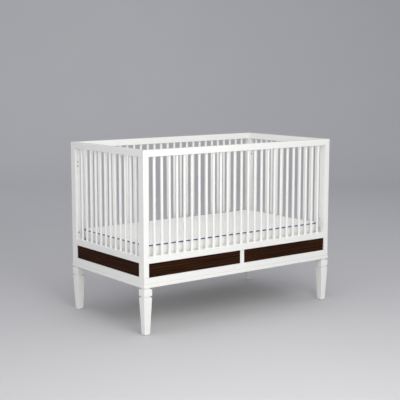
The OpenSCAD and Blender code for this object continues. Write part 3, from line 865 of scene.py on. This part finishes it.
class CRIB_OT_base(bpy.types.Operator):
    """Adds the mitred aprons, with their shadow line, and the moulding under them."""

    bl_idname = "crib.base"
    bl_label = "Base frame"

    def execute(self, context):
        for side, name in enumerate(SIDES):
            self.add_apron(side, "apron_" + name)
            self.add_moulding(side, "moulding_" + name)
        return {"FINISHED"}

    def add_apron(self, side, node):
        """A board with a shadow line cut along its lower outer edge."""
        low, high = size_of(node)
        depth = thickness(node, side)
        line_d, line_h = self.shadow_line(node, side)
        corners = [(line_d, low[2]), (depth, low[2]), (depth, high[2]), (0, high[2]),
                   (0, low[2] + line_h), (line_d, low[2] + line_h)]
        edge = shape().edge
        radii = (0.3 * MM, edge, edge, shape().foot_joint / 2, 0.7 * MM, 0.6 * MM)
        lacquered(node, mitred_part(side, eased_outline(corners, radii), shape().joint))

    def shadow_line(self, node, side):
        """Depth and height of an apron's shadow line, from the corners of its node."""
        points = coordinates_of(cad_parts[node].data)
        inward = side_depth(side) - np.abs(points[:, (side + 1) % 2])
        bottom = points[:, 2].min()
        depth = inward[points[:, 2] < bottom + 0.1 * MM].min()
        height = points[np.abs(inward) < 0.1 * MM, 2].min() - bottom
        return float(depth), float(height)

    def add_moulding(self, side, node):
        """A length of moulding that stands proud, with round outer edges."""
        low, high = size_of(node)
        inner, outer = reaches(node, side)
        proud, depth = outer - side_depth(side), side_depth(side) - inner
        corners = [(-proud, low[2]), (depth, low[2]), (depth, high[2]), (-proud, high[2])]
        edge, round_edge = shape().edge, shape().moulding_edge
        outline = eased_outline(corners, (round_edge, edge, edge, round_edge), 5)
        lacquered(node, mitred_part(side, outline, shape().joint / 2))


class CRIB_OT_panels(bpy.types.Operator):
    """Adds the six walnut panels and the two mullions."""

    bl_idname = "crib.panels"
    bl_label = "Panels"

    def execute(self, context):
        for side, name in enumerate(SIDES):
            halves = ("",) if side % 2 else ("_left", "_right")
            for node in ["panel_" + name + half for half in halves]:
                shift = 0.37 * (side + 1) + (0.21 if node.endswith("right") else 0.0)
                part = box_part(*size_of(node), 1 if side % 2 else 0, 0.8 * MM, 0.8 * MM)
                part = shifted_grain(part, 3.1 * shift, shift)
                piece = add_object(mesh_from_parts("walnut_" + node, [part]))
                finish_piece(piece, shared(stained_walnut), "stained_walnut", "root", node)
        for name in ("front", "rear"):
            low, high = size_of("mullion_" + name)
            low[2] = size_of("apron_" + name)[1][2]
            high[2] = size_of("lower_rail_" + name)[0][2]
            lacquered("mullion_" + name, box_part(low, high, 2, 1.2 * MM, shape().joint))
        return {"FINISHED"}


class CRIB_OT_legs(bpy.types.Operator):
    """Adds the four legs: neck, block, groove and tapered shaft."""

    bl_idname = "crib.legs"
    bl_label = "Legs"

    def execute(self, context):
        step = shape().leg_step
        for corner in CORNERS:
            node = "leg_" + corner
            low, high = size_of(node)
            centre, block = (low[:2] + high[:2]) / 2, (high[0] - low[0]) / 2
            (foot, shaft, groove, neck), (groove_z, block_z, neck_z) = self.steps(node, centre, block)
            groove -= shape().leg_cut
            corners = [(foot - 2 * step, low[2]), (foot, low[2]), (shaft, groove_z), (groove, groove_z),
                       (groove, block_z), (block, block_z), (block, neck_z), (neck, neck_z),
                       (neck, high[2])]
            radii = step * np.array((0, 1, 1, 0.5, 0.5, 1, 1, 0.5, 0))
            profile = eased_outline(corners, radii, 3, closed=False)
            lacquered(node, lathed(profile, 3, centre, corner=shape().leg_corner))
        return {"FINISHED"}

    def steps(self, node, centre, block):
        """Half widths and heights of a leg's steps, from the corners of its node's squares."""
        points = coordinates_of(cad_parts[node].data)
        away = np.abs(points[:, :2] - centre)
        reach = away.max(axis=1)
        outer = (reach - away.min(axis=1) < 0.1 * MM) & (reach > 0.5 * block)
        z, reach = np.round(points[outer, 2], 5), np.round(reach[outer], 5)
        levels = np.unique(z)
        widths = [np.unique(reach[z == level]) for level in levels]
        return (widths[0][-1], widths[1][-1], widths[1][0], widths[4][-1]), levels[1:4]


# ---------------------------------------------------------------- mattress support and hardware

class CRIB_OT_support(bpy.types.Operator):
    """Adds the rails and slats of the mattress support in bare beech."""

    bl_idname = "crib.support"
    bl_label = "Mattress support"

    def execute(self, context):
        for name, axis in (("front", 0), ("rear", 0), ("left", 1), ("right", 1)):
            node = "support_rail_" + name
            low, high = size_of(node)
            part = box_part(low, high, axis, 2 * MM, 1 * MM)
            piece = add_object(mesh_from_parts("beech_" + node, [part]))
            if axis == 0:
                cut_out(piece, self.rebates(low, high, 1 if name == "rear" else -1), 50)
            finish_piece(piece, shared(bare_beech), "bare_hardwood", "mattress_support", node)
        slats = [shifted_grain(box_part(low, high, 1, 2.5 * MM, 1.5 * MM), 0.61 * i, 0.17 * i)
                 for i, (low, high) in enumerate(shell_boxes("support_slats"))]
        piece = add_object(mesh_from_parts("beech_support_slats", slats))
        finish_piece(piece, shared(bare_beech), "bare_hardwood", "mattress_support", "support_slats")
        return {"FINISHED"}

    def rebates(self, low, high, outer):
        """The rebates at a side rail's two ends, 12 mm long and 7.5 mm deep, that clear the pins."""
        spare = 2 * MM
        top = size_of("support_pins")[1][2] + spare
        face = high[1] if outer > 0 else low[1]
        parts = []
        for end, x in ((-1, low[0]), (1, high[0])):
            corners = np.array([[x - end * 12 * MM, face - outer * 7.5 * MM, low[2] - spare],
                                [x + end * spare, face + outer * spare, top]])
            parts.append(box_part(corners.min(0), corners.max(0), 0, 0.1 * MM, 0.1 * MM))
        return parts


class CRIB_OT_hardware(bpy.types.Operator):
    """Finishes the frame's own small parts: bolts, screws, inserts, pins, brackets, blocks and glides."""

    bl_idname = "crib.hardware"
    bl_label = "Hardware"

    def execute(self, context):
        finishes = {
            zinc_steel: ("leg_bolts", "corner_block_screws", "support_pins", "support_slat_screws",
                         "support_brackets", "bracket_screws"),
            plated_brass: ("leg_inserts", "level_inserts", "conversion_inserts"),
            beech_block: ("corner_blocks", "post_dowels", "rail_dowels"),
            moulded_nylon: ("leg_glides",)}
        for make, nodes in finishes.items():
            for node in nodes:
                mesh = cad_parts[node].data
                mesh.materials.clear()
                mesh.materials.append(shared(make))
        return {"FINISHED"}


# ---------------------------------------------------------------- mattress

def mattress_outline(inset, steps):
    """The mattress's outline in plan, drawn in by inset."""
    low, high = size_of("mattress")
    return box_outline(low[:2] + inset, high[:2] - inset, MATTRESS_CORNER - inset, steps)


def seam_heights():
    """Heights of the two seams, at the middle of the piping."""
    return [sum(size_of("mattress_piping_" + w))[2] / 2 for w in ("bottom", "top")]


def mattress_start():
    """The mattress before it swells: a box with rounded edges, a little smaller all round.

    Its upper and lower edges are quarter rounds that start at the seams. Its sides draw in
    below the upper seam by the tuck times (the share of the way down) to the power 1.5.
    """
    low, high = size_of("mattress")
    seam_low, seam_high = seam_heights()
    bottom, top = low[2] + 1 * MM, high[2] - 3 * MM
    soft = top - seam_high
    t = np.linspace(0, math.pi / 2, 4)
    side = np.linspace(seam_low, seam_high, 12)[1:-1]
    rise = np.concatenate((bottom + (seam_low - bottom) * (1 - np.cos(t)), side,
                           seam_high + soft * np.sin(t)))
    share = np.clip((seam_high - rise) / (seam_high - seam_low), 0, 1)
    draw = np.concatenate((soft * (1 - np.sin(t)), np.zeros(len(side)), soft * (1 - np.cos(t))))
    draw = draw + shape().tuck * share ** 1.5
    points, normals = mattress_outline(COVER_INSET, 8)
    plan = points[None] - draw[:, None, None] * normals[None]
    grid = np.concatenate((plan, np.broadcast_to(rise[:, None, None], plan.shape[:2] + (1,))), axis=-1)
    flat = np.concatenate((normals, np.zeros((len(normals), 1))), axis=1)
    part = {"points": grid, "normals": np.broadcast_to(flat, grid.shape).copy(),
            "uv": grid[..., :2].copy(), "uv_end": 0.0, "cap_uv": points}
    return add_object(mesh_from_parts("cotton_mattress", [part]))


def remeshed(piece, voxel):
    """The piece with even quads, by a voxel remesh."""
    remesh = piece.modifiers.new("Even quads", "REMESH")
    remesh.mode = "VOXEL"
    remesh.voxel_size = voxel
    remesh.use_smooth_shade = True
    apply_modifiers(piece)
    return piece


def swollen(piece, travel):
    """Cloth under pressure from inside, with the seams held, each point's travel capped."""
    start = coordinates_of(piece.data)
    seams = piece.vertex_groups.new(name="seams")
    low, high = size_of("mattress")
    seam_low, seam_high = seam_heights()
    near = np.minimum(np.abs(start[:, 2] - seam_low), np.abs(start[:, 2] - seam_high))
    edge = np.maximum(np.abs(start[:, 0]) - high[0], np.abs(start[:, 1]) - high[1])
    sewn = (near < 6 * MM) & (edge > -20 * MM)
    resting = start[:, 2] < low[2] + 4 * MM
    seams.add(np.flatnonzero(sewn | resting).tolist(), 1.0, "REPLACE")
    cloth = piece.modifiers.new("Cover", "CLOTH")
    settings = cloth.settings
    settings.quality = 4
    settings.mass = 0.4
    settings.tension_stiffness = 25
    settings.compression_stiffness = 12
    settings.shear_stiffness = 8
    settings.bending_stiffness = 2.5
    settings.use_pressure = True
    settings.uniform_pressure_force = 4
    settings.vertex_group_mass = "seams"
    settings.effector_weights.gravity = 0
    cloth.collision_settings.use_collision = False
    frames = 20
    cloth.point_cache.frame_start, cloth.point_cache.frame_end = 1, frames
    for number in range(1, frames + 1):
        bpy.context.scene.frame_set(number)
    mesh = evaluated_mesh(piece)
    step = coordinates_of(mesh) - start
    bpy.data.meshes.remove(mesh)
    piece.modifiers.clear()
    bpy.context.scene.frame_set(1)
    length = np.linalg.norm(step, axis=1, keepdims=True)
    capped = start + step * (travel * np.tanh(length / travel) / np.maximum(length, 1e-9))
    piece.data.vertices.foreach_set("co", capped.astype(np.float32).ravel())
    piece.data.update()
    return piece


class CRIB_OT_mattress(bpy.types.Operator):
    """Adds the mattress: a firm padded block whose cover swells between its seams."""

    bl_idname = "crib.mattress"
    bl_label = "Mattress"

    def execute(self, context):
        piece = remeshed(mattress_start(), 10 * MM)
        piece = swollen(piece, shape().swell)
        smooth = piece.modifiers.new("Smooth", "SUBSURF")
        smooth.levels = smooth.render_levels = 1
        mesh = apply_modifiers(piece)
        soften_cover(mesh)
        map_cover(mesh)
        finish_piece(piece, shared(mattress_cotton), "mattress_cover", "mattress", "mattress")
        return {"FINISHED"}


def soften_cover(mesh):
    """Shallow creases: slow sines of x and y on top, and pulls that fade away from the seams."""
    points = coordinates_of(mesh)
    high, seam_high = size_of("mattress")[1], seam_heights()[1]
    x, y, z = points.T
    on_top = np.clip((z - seam_high) / (4 * MM), 0, 1)
    edge = np.minimum(high[0] - np.abs(x), high[1] - np.abs(y))
    slow = (np.sin(7.1 * x + 2.3 * np.sin(5.3 * y)) + np.sin(11.3 * y + 1.9 * np.sin(4.7 * x))) * 0.6 * MM
    pulls = np.sin(95 * x) * np.cos(7 * x) + np.sin(101 * y) * np.cos(9 * y)
    crease = pulls * 0.35 * MM * np.exp(-edge / (30 * MM))
    points[:, 2] += on_top * (slow - 0.6 * MM + crease)
    mesh.vertices.foreach_set("co", points.astype(np.float32).ravel())
    mesh.shade_smooth()


def map_cover(mesh):
    """Cover map in metres: x and y on the upper and lower faces, and way round and z on the sides.

    Each face takes the two axes that it faces least.
    """
    points = coordinates_of(mesh)
    count = len(mesh.polygons)
    normal = np.empty(count * 3)
    mesh.polygons.foreach_get("normal", normal)
    facing = np.abs(normal.reshape(-1, 3)).argmax(axis=1)
    total = np.empty(count, np.int32)
    mesh.polygons.foreach_get("loop_total", total)
    index = np.empty(len(mesh.loops), np.int32)
    mesh.loops.foreach_get("vertex_index", index)
    face = np.repeat(facing, total)
    place = points[index]
    u = np.where(face == 0, place[:, 1], place[:, 0])
    v = np.where(face == 2, place[:, 1], place[:, 2])
    layer = mesh.uv_layers.get("UVMap") or mesh.uv_layers.new(name="UVMap")
    layer.data.foreach_set("uv", np.stack((u, v), axis=-1).astype(np.float32).ravel())


class CRIB_OT_piping(bpy.types.Operator):
    """Adds the piping cords along the mattress's two seams."""

    bl_idname = "crib.piping"
    bl_label = "Piping"

    def execute(self, context):
        for which, height, tuck in zip(("bottom", "top"), seam_heights(), (shape().tuck, 0.0)):
            piece = piping_cord("piping_" + which, height, tuck)
            finish_piece(piece, shared(piping_twill), "piping_cord", "mattress", "mattress_piping_" + which)
        return {"FINISHED"}


def piping_cord(name, height, tuck):
    """A round cord along the mattress's outline: centre plus r(cos a times the normal, sin a up)."""
    radius = shape().piping
    path, normals = mattress_outline(COVER_INSET - radius * 0.55, 10)
    path = path - tuck * normals
    angle = np.linspace(0, 2 * math.pi, 12, endpoint=False)
    out = np.concatenate((normals, np.zeros((len(normals), 1))), axis=1)
    up = np.array([0, 0, 1.0])
    around = np.cos(angle)[:, None] * out[:, None] + np.sin(angle)[:, None] * up
    centre = np.concatenate((path, np.full((len(path), 1), height)), axis=1)
    points = centre[:, None] + radius * around
    quads = grid_faces(len(path) + 1, len(angle))[0] % (len(path) * len(angle))
    lengths, whole = outline_lengths(path)
    along = np.append(lengths, whole)
    row, column = np.divmod(np.arange(len(path) * len(angle)), len(angle))
    turn = 2 * math.pi * radius / len(angle)
    corners = [np.stack((along[row + a], turn * (column + b)), axis=-1)
               for a, b in ((1, 0), (1, 1), (0, 1), (0, 0))]
    return add_object(smooth_mesh(name, points, quads[:, ::-1].tolist(), np.stack(corners, axis=1)))


# ---------------------------------------------------------------- stage

WARM, CREAM, PLAIN, COOL = (1.0, 0.975, 0.915), (1.0, 0.985, 0.96), (1.0, 0.995, 0.98), (0.93, 0.95, 1.0)
SKY = (0.93, 0.94, 1.0, 1.0)
# Each lamp's power in watts, place, target, size and colour.
LAMPS = {
    "front": (37.6, (-0.8, -4.6, 2.4), (-0.2, 0.0, 0.5), (2.5, 2.0), PLAIN),
    "front_near": (29.1, (-0.9, -2.6, 2.4), (-0.6, 0.0, 0.6), (1.4, 1.2), WARM),
    "front_low": (23.2, (-2.4, -3.2, 1.2), (-0.6, 0.0, 0.6), (1.2, 1.6), PLAIN),
    "left": (40.0, (-5.0, -1.0, 2.4), (0.0, 0.0, 0.5), (3.0, 2.5), PLAIN),
    "top": (18.8, (-0.6, -1.6, 4.6), (0.0, -0.4, 0.3), (5.0, 4.0), WARM),
    "top_back": (16.2, (0.5, 0.8, 4.0), (0.0, 0.0, 0.0), (3.0, 3.0), CREAM),
    "right": (14.0, (4.5, -2.5, 2.5), (0.0, 0.0, 0.5), (3.0, 2.5), COOL),
    "backdrop": (45.3, (1.0, 4.5, 4.5), (5.0, 7.5, 1.5), (6.0, 2.0), PLAIN),
}


class CRIB_OT_stage(bpy.types.Operator):
    """Adds the floor with its swept backdrop, the lights and the camera."""

    bl_idname = "crib.stage"
    bl_label = "Stage"

    def execute(self, context):
        stage = context.scene.crib_stage
        floor = add_object(sweep_mesh("studio_floor", half=16.0, front=9.0, back=9.0, radius=3.0, top=9.0))
        floor.data.materials.append(shared(studio_paper))
        for name, (power, *lamp) in LAMPS.items():
            add_lamp(name, power * stage.light_level, *lamp)
        world = bpy.data.worlds.new("Studio")
        world.use_nodes = True
        background = world.node_tree.nodes["Background"]
        background.inputs["Color"].default_value = SKY
        background.inputs["Strength"].default_value = stage.sky_level
        context.scene.world = world
        context.scene.view_settings.view_transform = "Standard"
        context.scene.camera = add_camera(stage)
        return {"FINISHED"}


def sweep_mesh(name, half, front, back, radius, top):
    """A floor that turns up into a wall: a line, a quarter circle and a line, carried along the view."""
    arc = np.linspace(0, math.pi / 2, 24)
    y = np.concatenate(([-front], back - radius + radius * np.sin(arc), [back]))
    z = np.concatenate(([0.0], radius * (1 - np.cos(arc)), [top]))
    yaw = bpy.context.scene.crib_stage.camera_yaw
    along, ahead = np.array([math.cos(yaw), -math.sin(yaw)]), np.array([math.sin(yaw), math.cos(yaw)])
    points = []
    for x in (-half, half):
        plan = x * along[None] + y[:, None] * ahead[None]
        points.append(np.concatenate((plan, z[:, None]), axis=1))
    count = len(y)
    low = np.arange(count - 1)
    quads = np.stack((low, low + count, low + count + 1, low + 1), axis=-1)
    return smooth_mesh(name, np.concatenate(points), quads.tolist())


def aim(piece, place, target):
    """Puts a light or camera at place, looking at target."""
    direction = Vector(target) - Vector(place)
    piece.matrix_world = Matrix.Translation(place) @ direction.to_track_quat("-Z", "Y").to_matrix().to_4x4()


def add_lamp(name, power, place, target, size, colour):
    """A soft rectangular lamp that lights the scene but isn't seen itself."""
    light = bpy.data.lights.new(name, "AREA")
    light.shape = "RECTANGLE"
    light.size, light.size_y = size
    light.energy = power
    light.color = colour
    piece = bpy.data.objects.new(name, light)
    piece.visible_camera = False
    bpy.context.scene.collection.objects.link(piece)
    aim(piece, place, target)


def add_camera(stage):
    """The camera, level from side to side, turned and tilted as the stage says."""
    camera = bpy.data.cameras.new("camera")
    camera.sensor_width = 36.0
    camera.lens = stage.camera_lens
    piece = bpy.data.objects.new("camera", camera)
    bpy.context.scene.collection.objects.link(piece)
    place = Vector(stage.camera_at)
    flat = math.cos(stage.camera_pitch)
    ahead = Vector((math.sin(stage.camera_yaw) * flat, math.cos(stage.camera_yaw) * flat,
                    -math.sin(stage.camera_pitch)))
    aim(piece, place, place + ahead)
    return piece


# ---------------------------------------------------------------- add-on

OPERATORS = (CRIB_OT_stage, CRIB_OT_posts, CRIB_OT_top_rails, CRIB_OT_lower_rails, CRIB_OT_slats,
             CRIB_OT_base, CRIB_OT_panels, CRIB_OT_legs, CRIB_OT_support, CRIB_OT_hardware,
             CRIB_OT_mattress, CRIB_OT_piping)
GROUPS = {"crib_shape": CribShape, "crib_looks": CribLooks, "crib_stage": CribStage}


class CRIB_PT_panel(bpy.types.Panel):
    """Lists the crib's settings and the operators that build it."""

    bl_label = "Crib"
    bl_idname = "CRIB_PT_panel"
    bl_space_type = "VIEW_3D"
    bl_region_type = "UI"
    bl_category = "Crib"

    def draw(self, context):
        for name, group in GROUPS.items():
            box = self.layout.box()
            for setting in group.__annotations__:
                box.prop(getattr(context.scene, name), setting)
        for operator in OPERATORS:
            self.layout.operator(operator.bl_idname)


def register():
    """Registers the settings, operators and panel."""
    for group in GROUPS.values():
        bpy.utils.register_class(group)
    for name, group in GROUPS.items():
        setattr(bpy.types.Scene, name, bpy.props.PointerProperty(type=group))
    for item in OPERATORS + (CRIB_PT_panel,):
        bpy.utils.register_class(item)


def unregister():
    """Takes the settings, operators and panel away again."""
    for item in (CRIB_PT_panel,) + OPERATORS[::-1]:
        bpy.utils.unregister_class(item)
    for name in GROUPS:
        delattr(bpy.types.Scene, name)
    for group in reversed(list(GROUPS.values())):
        bpy.utils.unregister_class(group)


def main():
    """Builds the crib piece by piece."""
    register()
    for operator in OPERATORS:
        prefix, name = operator.bl_idname.split(".")
        getattr(getattr(bpy.ops, prefix), name)()


if __name__ == "__main__":
    main()
